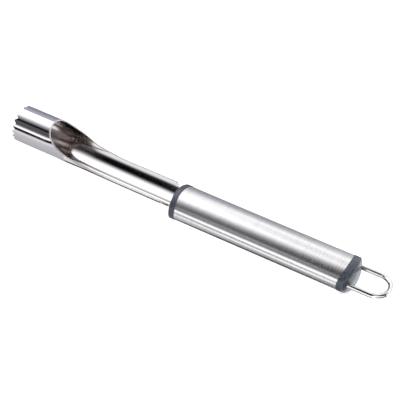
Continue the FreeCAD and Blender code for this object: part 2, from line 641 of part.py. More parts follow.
def make_cap(doc):
    """The cap that closes the sleeve's rear, with a hole for each leg of the loop."""
    body = make_body(doc, "rear_cap", REST_HEIGHT)
    seam = value["handle_start"] + value["collar_band"] + value["sleeve_length"]
    face = seam + value["cap_band"]
    plug_end = seam - value["cap_plug"]
    outline = oval_sketch(body, "cap_oval", "-Sizes.proud", f"{SEAM_REAR} - Sizes.end_bulge")
    disc = add_feature(body, "Pad", "cap_disc", Profile=outline)
    disc.setExpression("Length", "Sizes.cap_band + Sizes.end_bulge")
    dome = dome_sketch(body)
    add_feature(body, "Groove", "cap_dome", Profile=dome, ReferenceAxis=(dome, ["H_Axis"]),
                Angle=360)
    seam_cut(body, "cap_seam", SEAM_REAR, seam, -1)
    bevel(body, "face_bevel", "Sizes.cap_bevel", on_dome(face))
    add_plug(body, "cap_plug", f"({SEAM_REAR} + Sizes.plug_root)",
             f"({SEAM_REAR} - Sizes.cap_plug)", -1)
    bevel(body, "cap_lead", "Sizes.plug_chamfer",
          lambda place: abs(place.x - plug_end) < TOUCH)
    foot_cut(body)
    width = value["wire_diameter"] + 2 * value["wire_clearance"]
    holes = leg_sketch(body, "leg_holes_outline", f"{LEG_END} - Sizes.wire_clearance",
                       "Sizes.wire_diameter + 2 * Sizes.wire_clearance", width, (-1, 1))
    add_feature(body, "Pocket", "leg_holes", Profile=holes, Type="ThroughAll", Reversed=True)
    return body


def make_loop(doc):
    """The wire that the tool hangs by: half a turn, then two legs that end inside the cap."""
    body = make_body(doc, "hanging_loop", REST_HEIGHT)
    section = leg_sketch(body, "bend_section", LOOP_BEND, "Sizes.wire_diameter",
                         value["wire_diameter"], (1,))
    add_feature(body, "Revolution", "bend", Profile=section, ReferenceAxis=(section, ["V_Axis"]),
                Angle=180, Reversed=True)
    legs = add_feature(body, "Pad", "legs",
                       Profile=leg_sketch(body, "legs_section", LEG_END, "Sizes.wire_diameter",
                                          value["wire_diameter"], (-1, 1)))
    legs.setExpression("Length", f"{LOOP_BEND} - {LEG_END}")
    return body


def check(doc, nodes):
    """Stops the script if anything failed, cut nothing away or isn't one sound solid."""
    for item in doc.Objects:
        if {"Invalid", "Error"} & set(item.State):
            raise RuntimeError(f"{item.Label} failed: {item.State}")
        if item.TypeId in ("PartDesign::Pocket", "PartDesign::Groove"):
            if item.Shape.Volume >= item.BaseFeature.Shape.Volume:
                raise RuntimeError(f"{item.Label} cut nothing away")
    for node in nodes:
        shape = node.Shape
        if shape.isNull() or not shape.isValid() or len(shape.Solids) != 1:
            raise RuntimeError(f"{node.Label} isn't one sound solid")


def main():
    doc = FreeCAD.newDocument("apple_corer")
    make_sheet(doc)
    doc.recompute()
    blade = make_blade(doc)
    nodes = [blade, make_collar(doc, blade), make_sleeve(doc), make_cap(doc), make_loop(doc)]
    doc.recompute()
    check(doc, nodes)
    os.makedirs("parts", exist_ok=True)
    for node in nodes:
        node.Shape.exportStep(f"parts/{node.Label}.step")


main()
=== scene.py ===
import math

import bmesh
import bpy
from mathutils import Matrix, Vector


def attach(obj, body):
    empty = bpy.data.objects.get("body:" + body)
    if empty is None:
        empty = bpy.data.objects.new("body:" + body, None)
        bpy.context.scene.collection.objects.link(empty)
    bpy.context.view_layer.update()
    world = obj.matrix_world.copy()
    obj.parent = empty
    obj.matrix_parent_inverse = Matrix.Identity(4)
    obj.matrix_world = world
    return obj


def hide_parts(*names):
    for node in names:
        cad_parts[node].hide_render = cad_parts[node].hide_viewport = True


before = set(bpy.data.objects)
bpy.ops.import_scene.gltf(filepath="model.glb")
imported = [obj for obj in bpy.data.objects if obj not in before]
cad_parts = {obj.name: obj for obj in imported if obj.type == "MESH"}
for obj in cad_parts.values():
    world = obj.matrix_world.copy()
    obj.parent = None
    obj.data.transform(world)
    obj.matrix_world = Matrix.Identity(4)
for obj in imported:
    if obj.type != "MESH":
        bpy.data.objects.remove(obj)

# The looks of an apple corer: a saw-toothed steel tube that opens into a trough, set in an oval
# brushed steel handle with a plastic collar, a plastic cap and a wire loop.
#
# The scene is in metres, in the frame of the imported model: X along the tool from the teeth to
# the loop, Y across it, Z up. The pieces are drawn in millimetres, with x = 0 at the tips of
# the teeth and z = 0 on the axis of the handle, and place() puts their points in the scene.
MM = 0.001
TEETH_AT = -109.4

# Camera, fitted to the photograph's outlines
CAMERA_PLACE = Vector((0.222438, -0.438102, 0.475994))
CAMERA_TARGET = Vector((0.000899, 0.0, 0.014331))
CAMERA_ROLL = math.radians(3.947)
LENS = 118.19
SENSOR = 36.0
CLIP = (0.01, 20.0)

# Blade. The scoop's rim drops in one arc and runs out in a wider one, down to the trough's
# edges. The lips of the scoop flare and lift round a middle, up to a reach either way. The
# trough opens out a little along its length. Its walls close in before the handle, and inside
# the handle it is squeezed to the tang.
TUBE_AXIS = 8.0
TUBE_RADIUS = 10.0
SHEET = 0.8
BORE_RADIUS = TUBE_RADIUS - SHEET
TEETH = 20
TOOTH_DEPTH = 1.6
TOOTH_FLAT = 0.15
FLANK_STEPS = 5
PITCH_STEPS = 2 * FLANK_STEPS + 2
SCOOP_START = 20.5
SCOOP_ENTRY = math.radians(60.0)
SCOOP_RADIUS = 23.7
RUNOUT_RADIUS = 136.0
EDGE_DROP = 4.3
OPEN_START = 24.0
OPEN_END = 84.0
OPEN_RADIUS = 10.4
LIP_FLARE = 0.6
LIP_LIFT = 1.05
LIP_MIDDLE = 32.0
LIP_REACH = 11.4
EDGE_ROUND = 0.3
ROUND_RUN = 2.0
CLOSE_START = 89.5
CLOSE_END = 98.0
CLOSE_DEPTH = 3.4
CLOSE_FROM = math.radians(48.0)
CLOSE_TO = math.radians(105.0)
SQUEEZE_START = 96.8
SQUEEZE_END = 102.8
SQUEEZED_RADIUS = 7.8
SHOULDER_START = 90.6
SHOULDER_RADIUS = 2.0
SHOULDER_SLOPE = math.radians(42.0)
TANG_WIDTH = 12.0
TANG_END = 118.9

# Handle: an oval whose ends are shallow arcs. The collar and the cap stand a little proud of
# the sleeve, and their plugs reach into it.
HANDLE_WIDTH = 22.3
HANDLE_HEIGHT = 14.8
END_BULGE = 1.5
COLLAR_FRONT = 96.5
SEAM_FRONT = 99.75
SEAM_REAR = 194.95
CAP_FACE = 200.7
SLEEVE_WALL = 0.9
SLEEVE_BEVEL = 0.12
PROUD = 0.2
COLLAR_ROUNDING = 0.8
CAP_ROUNDING = 0.7
DOME_RADIUS = 18.9
PLUG_INSET = 0.95
COLLAR_PLUG_END = 127.6
CAP_PLUG_END = 176.6
PLUG_CHAMFER = 0.8

# The collar and the cap have a flat underneath that the tool lies on
FOOT_WIDTH = 3.0

# Loop: two legs from inside the cap, and a half turn
WIRE_RADIUS = 1.35
LEG_PLACE = 7.6
LEG_START = 186.9
LOOP_BEND = 209.85

# Fineness of the meshes. A rounded corner takes no more than a share of its cut edge, and
# TINY is what counts as nothing.
OVAL_SIDE_STEPS = 28
OVAL_FACE_STEPS = 44
ROUNDING_STEPS = 7
FACE_RINGS = 10
SLEEVE_STEPS = 24
WIRE_SIDES = 40
LOOP_STEPS = 96
CORNER_STEPS = 4
CORNER_SHARE = 0.45
COLUMNS = TEETH * PITCH_STEPS
MOUTH_ROWS = 5
MOUTH_END = 2.8
TUBE_STATIONS = (MOUTH_END, 5.0, 8.0, 11.0, 14.0, 17.0, 19.0, 20.0)
LIP_STATIONS = 6
TROUGH_STATIONS = 70
NECK_STEP = 0.2
NECK_STATIONS = 61
TANG_STATIONS = (103.0, 108.0, 113.0, TANG_END)
SHARP = math.radians(28.0)
TINY = 1e-7

# Steels: colours outside, inside the scoop and on cut edges, and ranges of roughness. The
# scoop's satin inside passes into the trough's bright one between two places along the blade.
# Brushed steel draws its reflections out across its hairlines, which lie round the girth.
STEEL = (0.56, 0.54, 0.525)
# Painted shade: the colour inside the scoop is darker and browner than the outside steel, to
# deepen the shade in the scoop's hollow
SCOOP_SHADE_STEEL = (0.53, 0.49, 0.47)
CUT_STEEL = (0.44, 0.43, 0.425)
MIRROR_ROUGH = (0.05, 0.08)
CUT_ROUGH = (0.15, 0.25)
SATIN_ROUGH = 0.14
BRIGHT_ROUGH = 0.05
SATIN_END = 38.0
BRIGHT_START = 52.0
BRUSHED_ROUGH = (0.17, 0.26)
BRUSHED_TONES = (0.94, 1.06)
BRUSHED_STRETCH = 0.6
ROUND_THE_GIRTH = 0.25

# Plastic
PLASTIC_DARK = (0.020, 0.022, 0.031)
PLASTIC_LIGHT = (0.075, 0.079, 0.101)
PLASTIC_GLOSS = (0.82, 0.92, 1.0, 1.0)
PLASTIC_ROUGH = 0.3

# Noises: the stretch along each axis, the scale and the detail. Nearly all their values lie in
# the usual range. Bumps: the strength and the depth in metres.
STEEL_GRAIN = ((1.0, 1.0, 1.0), 900.0, 3.0)
HAIRLINES = ((1.0, 0.02, 0.02), 5200.0, 3.0)
GIRTH_BANDS = ((1.0, 0.012, 0.012), 2600.0, 2.0)
MOTTLE = ((1.0, 1.0, 1.0), 1300.0, 4.0)
USUAL_RANGE = (0.3, 0.7)
HAIR_BUMP = (0.25, 0.00002)
MOTTLE_BUMP = (0.3, 0.00006)

# Studio that the steel sees round it. A panel is a list of display levels at angles round the
# tool, in degrees from straight up towards the near side.
WHITE = 262
SOFT_BOX = 340
SIDE_PANEL = ((-180, 235), (-100, 235), (-85, 10), (-25, 10), (-12, WHITE), (85, WHITE),
              (95, 5), (145, 5), (155, 200))
HEAD_PANEL = ((-180, 165), (-150, 145), (-135, 115), (-125, 145), (-105, 130), (-92, 122),
              (-65, 160), (-46, 175), (-40, SOFT_BOX), (-10, SOFT_BOX), (0, WHITE), (6, 225),
              (18, 148), (27, 98), (30, 4), (36, 4), (40, 64), (48, 90), (57, 72), (64, 92),
              (70, 160), (74, WHITE), (83, WHITE), (85, 8), (97, 8), (101, 175), (107, 226),
              (120, 192), (170, 172))
NECK_PANEL = ((-180, 120), (-174, 15), (-150, 2), (-130, 5), (-118, 40), (-100, 120),
              (-70, 180), (-50, 228), (-44, SOFT_BOX), (-18, SOFT_BOX), (-10, WHITE), (-2, 244),
              (5, 200), (12, 125), (19, 45), (26, 2), (33, 3), (42, 10), (50, 30), (57, 125),
              (62, 205), (68, 228), (88, 228), (110, 200), (150, 225), (170, 205))
HANDLE_PANEL = ((-180, 3), (-142, 3), (-139, 235), (-120, 200), (-100, 125),
                (-75, 160), (-62, 222), (-54, 275), (-46, 236), (-38, 190), (-28, 190),
                (-17, 262), (-8, 238), (4, 118), (12, 55), (20, 60), (28, 165), (38, 205),
                (48, 155), (60, 175), (67, 250), (75, 310), (84, 295), (91, 25), (99, 2),
                (106, 165), (114, 300), (122, 262), (132, 172), (162, 115), (171, 3))
LOOP_PANEL = ((-180, 180), (-165, 150), (-150, 15), (-107, 15), (-97, 215), (-60, WHITE),
              (-25, 235), (-14, 200), (-8, 2), (56, 2), (63, 210), (75, WHITE), (100, WHITE),
              (115, 225), (130, 160), (155, 150))
END_PANEL = ((-180, 300), (-112, 300), (-100, 215), (-60, 225), (-45, WHITE), (-34, 240),
             (-30, 5), (8, 5), (14, 240), (60, WHITE), (100, 300))
BACK_PANEL = ((-180, 90), (-171, 15), (-165, 40), (-157, 300), (-112, 300), (-100, 215),
              (-60, 225), (-45, WHITE), (-22, 205), (-10, 60), (-2, 5), (10, 5), (18, 110),
              (34, 225), (55, WHITE), (82, 250), (94, 190), (103, 45), (122, 20), (136, 110),
              (152, 190), (168, 130))

# Tints on the far side, on the near side and of pale parts, which start at the level PALE. The
# far side lies between two angles.
FAR_SIDE = (-150, -40)
HEAD_TINTS = ((1.0, 0.98, 1.17), (1.0, 0.96, 1.03), (1.0, 0.98, 1.02))
HANDLE_TINTS = ((1.0, 1.01, 1.11), (1.0, 0.975, 1.04), (1.0, 0.99, 1.0))
END_TINTS = ((1.0, 0.98, 0.94), (1.0, 0.98, 0.94), (1.0, 0.99, 0.97))
PALE = 215

# The panels in order of the direction's part along the tool, each with its tints and the two such
# parts between which the panel before it passes into it
PANELS = ((SIDE_PANEL, HEAD_TINTS, None),
          (HEAD_PANEL, HEAD_TINTS, (-0.66, -0.62)),
          (NECK_PANEL, HANDLE_TINTS, (-0.44, -0.42)),
          (HANDLE_PANEL, HANDLE_TINTS, (-0.343, -0.33)),
          (LOOP_PANEL, HANDLE_TINTS, (-0.207, -0.199)),
          (END_PANEL, END_TINTS, (0.14, 0.22)),
          (BACK_PANEL, END_TINTS, (0.4, 0.55)))

# The neck's panel lies aslant: it turns with the part along the tool, up to a reach either way
NECK_SLANT = math.radians(140.0)
NECK_MIDDLE = -0.367
NECK_REACH = 0.04

# Lamp, floor and plain light on what isn't glossy. The floor lies a hair below the tool.
SOFT_LIGHT = 0.55
LAMP_POWER = 3.2
LAMP_SIZE = 0.5
LAMP_PLACE = Vector((0.05, -0.15, 0.7))
FLOOR_SIZE = 3.0
FLOOR_GLOW = 0.7
FLOOR_DROP = 0.00002
FLOOR_COLOUR = (0.85, 0.85, 0.85, 1.0)
FLOOR_ROUGH = 0.9
BACKGROUND = (1.0, 1.0, 1.0)


def oval_radii():
    """Side and face radii of the handle's four-centre oval."""
    half_width, half_height = HANDLE_WIDTH / 2, HANDLE_HEIGHT / 2
    diagonal = math.hypot(half_width, half_height)
    excess = half_width - half_height
    return (diagonal * (diagonal - excess) / (2 * half_width),
            diagonal * (diagonal + excess) / (2 * half_height))


def rest_height():
    """Height of the handle's axis over the flats."""
    face = oval_radii()[1] + PROUD
    foot_depth = face - math.sqrt(face ** 2 - (FOOT_WIDTH / 2) ** 2)
    return HANDLE_HEIGHT / 2 + PROUD - foot_depth


HANDLE_AXIS = rest_height()


def place(point):
    x, y, z = point
    return ((x + TEETH_AT) * MM, y * MM, (z + HANDLE_AXIS) * MM)


def mix(first, second, share):
    return first + (second - first) * share


def patch_mesh(name, *finishes):
    """One smooth mesh from grids of points, joined where their borders meet, in one list of
    grids for each material."""
    shape = bmesh.new()
    grids = [(grid, finish) for finish, patches in enumerate(finishes) for grid in patches]
    for grid, finish in grids:
        rows = [[shape.verts.new(place(point)) for point in row] for row in grid]
        for first, second in zip(rows, rows[1:]):
            for corners in zip(first, first[1:], second[1:], second):
                shape.faces.new(corners).material_index = finish
    bmesh.ops.remove_doubles(shape, verts=shape.verts, dist=TINY)
    bmesh.ops.recalc_face_normals(shape, faces=shape.faces)
    mesh = bpy.data.meshes.new(name)
    shape.to_mesh(mesh)
    shape.free()
    mesh.shade_smooth()
    mesh.set_sharp_from_angle(angle=SHARP)
    return mesh


def add_piece(name, mesh, materials, node):
    """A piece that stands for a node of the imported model."""
    piece = bpy.data.objects.new(name, mesh)
    bpy.context.collection.objects.link(piece)
    for material in materials:
        piece.data.materials.append(material)
    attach(piece, "root")
    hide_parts(node)
    return piece


# Blade

def swell(x):
    """How far the lips of the scoop are formed outwards at x, from 0 to 1."""
    return math.cos(math.pi / 2 * min(1.0, abs(x - LIP_MIDDLE) / LIP_REACH)) ** 2


def passage(x, start, end):
    """A smooth passage from 0 at start to 1 at end."""
    share = min(1.0, max(0.0, (x - start) / (end - start)))
    return share * share * (3 - 2 * share)


def rim_height(x):
    """Height of the scoop's rim over the tube's axis, in two arcs and a level run, where the
    rounding of the cut edge begins."""
    centre_x = SCOOP_START + SCOOP_RADIUS * math.sin(SCOOP_ENTRY)
    centre_z = TUBE_RADIUS + SCOOP_RADIUS * math.cos(SCOOP_ENTRY)
    turn = math.acos((RUNOUT_RADIUS - centre_z - EDGE_DROP) / (RUNOUT_RADIUS - SCOOP_RADIUS))
    joint_x = centre_x - SCOOP_RADIUS * math.sin(turn)
    level_x = joint_x + RUNOUT_RADIUS * math.sin(turn)
    rise = LIP_LIFT * swell(x) - EDGE_ROUND * min(1.0, (x - SCOOP_START) / ROUND_RUN)
    if x < joint_x:
        return centre_z - math.sqrt(SCOOP_RADIUS ** 2 - (x - centre_x) ** 2) + rise
    if x < level_x:
        run = level_x - x
        return RUNOUT_RADIUS - EDGE_DROP - math.sqrt(RUNOUT_RADIUS ** 2 - run ** 2) + rise
    return rise - EDGE_DROP


def bore_opening():
    """Where the rim drops to the top of the bore."""
    low, high = SCOOP_START, SCOOP_START + SCOOP_RADIUS / 2
    while high - low > TINY:
        middle = (low + high) / 2
        if rim_height(middle) > BORE_RADIUS:
            low = middle
        else:
            high = middle
    return low


def shoulder_limit(x):
    """Half width of the blade where its shoulders are cut, seen from above."""
    edge = math.sqrt(outer_radius(SHOULDER_START) ** 2 - EDGE_DROP ** 2)
    turned_x = SHOULDER_START + SHOULDER_RADIUS * math.sin(SHOULDER_SLOPE)
    turned_y = edge - SHOULDER_RADIUS * (1 - math.cos(SHOULDER_SLOPE))
    if x < SHOULDER_START:
        return OPEN_RADIUS
    if x < turned_x:
        across = x - SHOULDER_START
        return edge - SHOULDER_RADIUS + math.sqrt(SHOULDER_RADIUS ** 2 - across ** 2)
    return max(turned_y - (x - turned_x) * math.tan(SHOULDER_SLOPE), TANG_WIDTH / 2)


def outer_radius(x):
    """Radius of the blade's outside: the trough is opened out a little behind the tube, and is
    squeezed where it goes into the handle."""
    opened = mix(TUBE_RADIUS, OPEN_RADIUS, passage(x, OPEN_START, OPEN_END))
    return mix(opened, SQUEEZED_RADIUS, passage(x, SQUEEZE_START, SQUEEZE_END))


def blade_point(depth, turn, x, edge_turn=math.pi):
    """A point of the blade at a depth in the sheet, turn round from its bottom. The lips of the
    scoop flare, most at the edge, and the trough's walls close in towards the handle."""
    radius = outer_radius(x) - depth + LIP_FLARE * swell(x) * (turn / edge_turn) ** 2
    closed = passage(x, CLOSE_START, CLOSE_END) * passage(abs(turn), CLOSE_FROM, CLOSE_TO)
    radius -= CLOSE_DEPTH * closed
    return (x, radius * math.sin(turn), TUBE_AXIS - radius * math.cos(turn))


def shoulder_turn(depth, x):
    """How far round a section of the neck or tang goes, up to its edge or the shoulder's cut."""
    radius = outer_radius(x) - depth
    high = math.acos(-rim_height(x) / radius)
    return min(high, math.asin(min(1.0, shoulder_limit(x) / radius)))


def eased(start, end, steps):
    """Stations that start close together and spread out."""
    return [start + (end - start) * (step / steps) ** 2 for step in range(steps + 1)]


def tooth_columns(radius):
    """The turn and x of the mouth's edge, round a surface of the tube from top to top."""
    half_mouth = (2 * math.pi * BORE_RADIUS / TEETH - TOOTH_FLAT) / 2
    pitch = 2 * math.pi / TEETH
    corner = math.asin(half_mouth / radius)
    columns = []
    for tooth in range(TEETH):
        for step in range(PITCH_STEPS):
            if step <= FLANK_STEPS:
                offset = corner * step / FLANK_STEPS
            elif step == FLANK_STEPS + 1:
                offset = pitch / 2
            else:
                offset = pitch - corner * (PITCH_STEPS - step) / FLANK_STEPS
            away = min(offset, pitch - offset)
            depth = max(0.0, 1 - radius * math.sin(away) / half_mouth)
            columns.append((-math.pi + tooth * pitch + offset, TOOTH_DEPTH * depth))
    columns.append((math.pi, columns[0][1]))
    return columns


def rounded_cut(outside, inside, along):
    """Points over a cut edge from the sheet's outside to its inside, with rounded corners. An
    edge that ends in the middle plane is rounded at its outside only."""
    across = Vector(inside) - Vector(outside)
    length = across.length
    away = across.cross(along).normalized()
    if away.z < 0:
        away = -away
    radius = min(EDGE_ROUND, CORNER_SHARE * length)
    profile = []
    for step in range(CORNER_STEPS + 1):
        turn = math.pi / 2 * step / CORNER_STEPS
        profile.append((radius * (1 - math.cos(turn)), radius * math.sin(turn)))
    for step in range(CORNER_STEPS + 1):
        turn = math.pi / 2 * step / CORNER_STEPS
        if abs(inside[1]) < TINY:
            profile.append((mix(radius, length, (step + 1) / (CORNER_STEPS + 1)), radius))
        else:
            profile.append((length - radius * (1 - math.sin(turn)), radius * math.cos(turn)))
    points = []
    for run, rise in profile:
        x, y, z = Vector(outside) + run / length * across + rise * away
        points.append((x, y, min(z, TUBE_AXIS + TUBE_RADIUS)))
    return points


def mouth_rows(depth):
    """The toothed mouth, where the columns ease from the teeth to an even spacing."""
    rows = []
    for row in range(MOUTH_ROWS):
        share = row / MOUTH_ROWS
        points = []
        for index, (turn, x) in enumerate(tooth_columns(TUBE_RADIUS - depth)):
            even = -math.pi + 2 * math.pi * index / COLUMNS
            points.append(blade_point(depth, mix(turn, even, share), mix(x, MOUTH_END, share)))
        rows.append(points)
    return rows


def section(depth, turn, x):
    """A row of points across one surface of the sheet, from edge to edge."""
    return [blade_point(depth, turn * (2 * index / COLUMNS - 1), x, turn)
            for index in range(COLUMNS + 1)]


def blade_stations():
    """The sections behind the mouth: x, how far round the outside and the inside go, and where
    the rim lies over the bore's top, its point in the middle plane."""
    stations = [(x, (math.pi, math.pi), None) for x in (*TUBE_STATIONS, SCOOP_START)]
    opening = bore_opening()
    lip = eased(SCOOP_START, opening, LIP_STATIONS)
    trough = eased(opening, SHOULDER_START, TROUGH_STATIONS)
    for x in lip[1:] + trough[1:]:
        height = rim_height(x)
        middle = (x, 0.0, height + TUBE_AXIS) if height > BORE_RADIUS else None
        rim = outer_radius(x) + LIP_FLARE * swell(x)
        turns = [math.acos(max(-1.0, -height / (rim - depth))) for depth in (0.0, SHEET)]
        stations.append((x, turns, middle))
    neck = [SHOULDER_START + NECK_STEP * step for step in range(1, NECK_STATIONS + 1)]
    for x in (*neck, *TANG_STATIONS):
        stations.append((x, [shoulder_turn(depth, x) for depth in (0.0, SHEET)], None))
    return stations


def edge_strips(rims):
    """The long cut edge on both sides, from the points where the outside and the inside end."""
    strip = []
    for index, (outside, inside) in enumerate(rims):
        before, after = rims[max(index - 1, 0)][0], rims[min(index + 1, len(rims) - 1)][0]
        if outside == inside:
            strip.append([outside] * (2 * CORNER_STEPS + 2))
        else:
            strip.append(rounded_cut(outside, inside, Vector(after) - Vector(before)))
    return [[[(x, side * y, z) for x, y, z in row] for row in strip] for side in (1, -1)]


def blade_patches():
    """The blade's outside, its inside and its cut edges."""
    stations = blade_stations()
    outer = mouth_rows(0.0) + [section(0.0, turns[0], x) for x, turns, middle in stations]
    inner = mouth_rows(SHEET) + [section(SHEET, turns[1], x) for x, turns, middle in stations]
    top = (SCOOP_START, 0.0, TUBE_RADIUS + TUBE_AXIS)
    rims = [(top, top)]
    rows = zip(stations, outer[MOUTH_ROWS:], inner[MOUTH_ROWS:])
    for (x, turns, middle), outside, inside in rows:
        if turns[0] < math.pi:
            rims.append((outside[-1], middle or inside[-1]))
    teeth, tang_end = [outer[0], inner[0]], [outer[-1], inner[-1]]
    return [outer], [inner], [teeth, tang_end, *edge_strips(rims)]


# Handle

def oval(inset):
    """The oval, smaller by inset all round and flat where it rests, as (y, z) points."""
    side, face = oval_radii()
    across, up = HANDLE_WIDTH / 2 - side, face - HANDLE_HEIGHT / 2
    turn = math.atan2(up, across)
    arcs = ((across, 0.0, side, -turn, turn, OVAL_SIDE_STEPS),
            (0.0, -up, face, turn, math.pi - turn, OVAL_FACE_STEPS),
            (-across, 0.0, side, math.pi - turn, math.pi + turn, OVAL_SIDE_STEPS),
            (0.0, up, face, math.pi + turn, 2 * math.pi - turn, OVAL_FACE_STEPS))
    points = []
    for centre_y, centre_z, radius, start, end, steps in arcs:
        for step in range(steps):
            angle = mix(start, end, step / steps)
            height = centre_z + (radius - inset) * math.sin(angle)
            points.append((centre_y + (radius - inset) * math.cos(angle),
                           max(height, -HANDLE_AXIS)))
    return points + points[:1]


def bulge(y):
    """How far an end arc of the handle has fallen back from its tip at y."""
    radius = ((HANDLE_WIDTH / 2) ** 2 + END_BULGE ** 2) / (2 * END_BULGE)
    return radius - math.sqrt(radius ** 2 - y ** 2)


def front_arc(tip):
    return lambda y, z: tip + bulge(y)


def rear_arc(tip):
    return lambda y, z: tip - bulge(y)


def flat(x):
    return lambda y, z: x


def dome(y, z):
    return CAP_FACE - DOME_RADIUS + math.sqrt(DOME_RADIUS ** 2 - y ** 2 - z ** 2)


def ring(inset, surface, shift=0.0):
    """The oval laid on a surface given as x over (y, z), and moved along by shift."""
    return [(surface(y, z) + shift, y, z) for y, z in oval(inset)]


def closing(inset, surface):
    """Rings from the oval inwards to the middle of an end face."""
    rows = []
    for step in range(FACE_RINGS + 1):
        size = 1 - step / FACE_RINGS
        rows.append([(surface(y * size, z * size), y * size, z * size)
                     for y, z in oval(inset)])
    return rows


def rounded_edge(surface, radius, side):
    """Rings round the rounded edge between the handle's side and an end face."""
    rows = []
    for step in range(ROUNDING_STEPS + 1):
        turn = math.pi / 2 * step / ROUNDING_STEPS
        rows.append(ring(radius * (1 - math.cos(turn)) - PROUD, surface,
                         -side * radius * (1 - math.sin(turn))))
    return rows


def sleeve_patches():
    front, rear = front_arc(SEAM_FRONT), rear_arc(SEAM_REAR)
    rings = [ring(SLEEVE_WALL, front), ring(SLEEVE_BEVEL, front), ring(0, front, SLEEVE_BEVEL)]
    start, end = ring(0, front, SLEEVE_BEVEL), ring(0, rear, -SLEEVE_BEVEL)
    for step in range(1, SLEEVE_STEPS):
        rings.append([tuple(mix(a, b, step / SLEEVE_STEPS) for a, b in zip(first, last))
                      for first, last in zip(start, end)])
    rings += [end, ring(SLEEVE_BEVEL, rear), ring(SLEEVE_WALL, rear), ring(SLEEVE_WALL, front)]
    return [rings]


def plug_rings(end, side):
    return ([ring(PLUG_INSET, flat(end), -side * PLUG_CHAMFER)]
            + closing(PLUG_INSET + PLUG_CHAMFER, flat(end)))


def collar_patches():
    front, seam = front_arc(COLLAR_FRONT), front_arc(SEAM_FRONT)
    edge = rounded_edge(front, COLLAR_ROUNDING, -1)
    face = closing(COLLAR_ROUNDING - PROUD, front)
    back = [ring(-PROUD, front, COLLAR_ROUNDING), ring(-PROUD, seam, -SLEEVE_BEVEL),
            ring(SLEEVE_BEVEL - PROUD, seam), ring(PLUG_INSET, seam)]
    return [edge + face[1:], back + plug_rings(COLLAR_PLUG_END, 1)]


def cap_patches():
    seam = rear_arc(SEAM_REAR)
    edge = rounded_edge(dome, CAP_ROUNDING, 1)
    face = closing(CAP_ROUNDING - PROUD, dome)
    back = [ring(-PROUD, dome, -CAP_ROUNDING), ring(-PROUD, seam, SLEEVE_BEVEL),
            ring(SLEEVE_BEVEL - PROUD, seam), ring(PLUG_INSET, seam)]
    return [edge + face[1:], back + plug_rings(CAP_PLUG_END, -1)]


def loop_patches():
    """The wire, swept along a leg, round the half turn and back along the other leg."""
    line = [(LEG_START, -LEG_PLACE, -math.pi / 2)]
    for step in range(LOOP_STEPS + 1):
        turn = -math.pi / 2 + math.pi * step / LOOP_STEPS
        line.append((LOOP_BEND + LEG_PLACE * math.cos(turn), LEG_PLACE * math.sin(turn), turn))
    line.append((LEG_START, LEG_PLACE, math.pi / 2))
    rows = []
    for x, y, turn in line:
        row = []
        for side in range(WIRE_SIDES + 1):
            angle = 2 * math.pi * side / WIRE_SIDES
            out = WIRE_RADIUS * math.cos(angle)
            row.append((x + out * math.cos(turn), y + out * math.sin(turn),
                        WIRE_RADIUS * math.sin(angle)))
        rows.append(row)
    ends = []
    for row, (x, y, turn) in ((rows[0], line[0]), (rows[-1], line[-1])):
        ends.append([row, [(x, y, 0.0)] * len(row)])
    return [rows] + ends


# Materials

def new_material(name):
    material = bpy.data.materials.new(name)
    material.use_nodes = True
    nodes = material.node_tree.nodes
    return material, nodes, material.node_tree.links, nodes["Principled BSDF"]


def add_node(nodes, kind, **settings):
    node = nodes.new(kind)
    for key, setting in settings.items():
        setattr(node, key, setting)
    return node


def stretched_noise(nodes, links, stretch, scale, detail):
    """Noise in the object's own space, stretched along its axes."""
    place_in = add_node(nodes, "ShaderNodeTexCoord")
    mapping = add_node(nodes, "ShaderNodeMapping")
    mapping.inputs["Scale"].default_value = stretch
    noise = add_node(nodes, "ShaderNodeTexNoise")
    noise.inputs["Scale"].default_value = scale
    noise.inputs["Detail"].default_value = detail
    links.new(place_in.outputs["Object"], mapping.inputs["Vector"])
    links.new(mapping.outputs["Vector"], noise.inputs["Vector"])
    return noise.outputs["Fac"]


def mapped(nodes, links, source, from_range, to_range=(0.0, 1.0)):
    """Maps a value from one range on to another and keeps it inside."""
    node = add_node(nodes, "ShaderNodeMapRange")
    for name, setting in zip(("From Min", "From Max", "To Min", "To Max"), from_range + to_range):
        node.inputs[name].default_value = setting
    links.new(source, node.inputs["Value"])
    return node.outputs["Result"]


def mixed(nodes, links, factor, first, second, kind="RGBA"):
    """Mixes two colours or two numbers, each a plain one or another node's output."""
    node = add_node(nodes, "ShaderNodeMix", data_type=kind)
    links.new(factor, node.inputs["Factor"])
    for name, part in (("A", first), ("B", second)):
        if isinstance(part, tuple):
            node.inputs[name].default_value = (*part, 1.0)
        elif isinstance(part, float):
            node.inputs[name].default_value = part
        else:
            links.new(part, node.inputs[name])
    return node.outputs["Result"]


def add_bump(nodes, links, shader, height, strength, depth):
    bump = add_node(nodes, "ShaderNodeBump")
    bump.inputs["Strength"].default_value = strength
    bump.inputs["Distance"].default_value = depth
    links.new(height, bump.inputs["Height"])
    links.new(bump.outputs["Normal"], shader.inputs["Normal"])


def polished_steel(name, colour, roughness):
    material, nodes, links, shader = new_material(name)
    shader.inputs["Base Color"].default_value = (*colour, 1.0)
    shader.inputs["Metallic"].default_value = 1.0
    grain = stretched_noise(nodes, links, *STEEL_GRAIN)
    links.new(mapped(nodes, links, grain, USUAL_RANGE, roughness), shader.inputs["Roughness"])
    return material


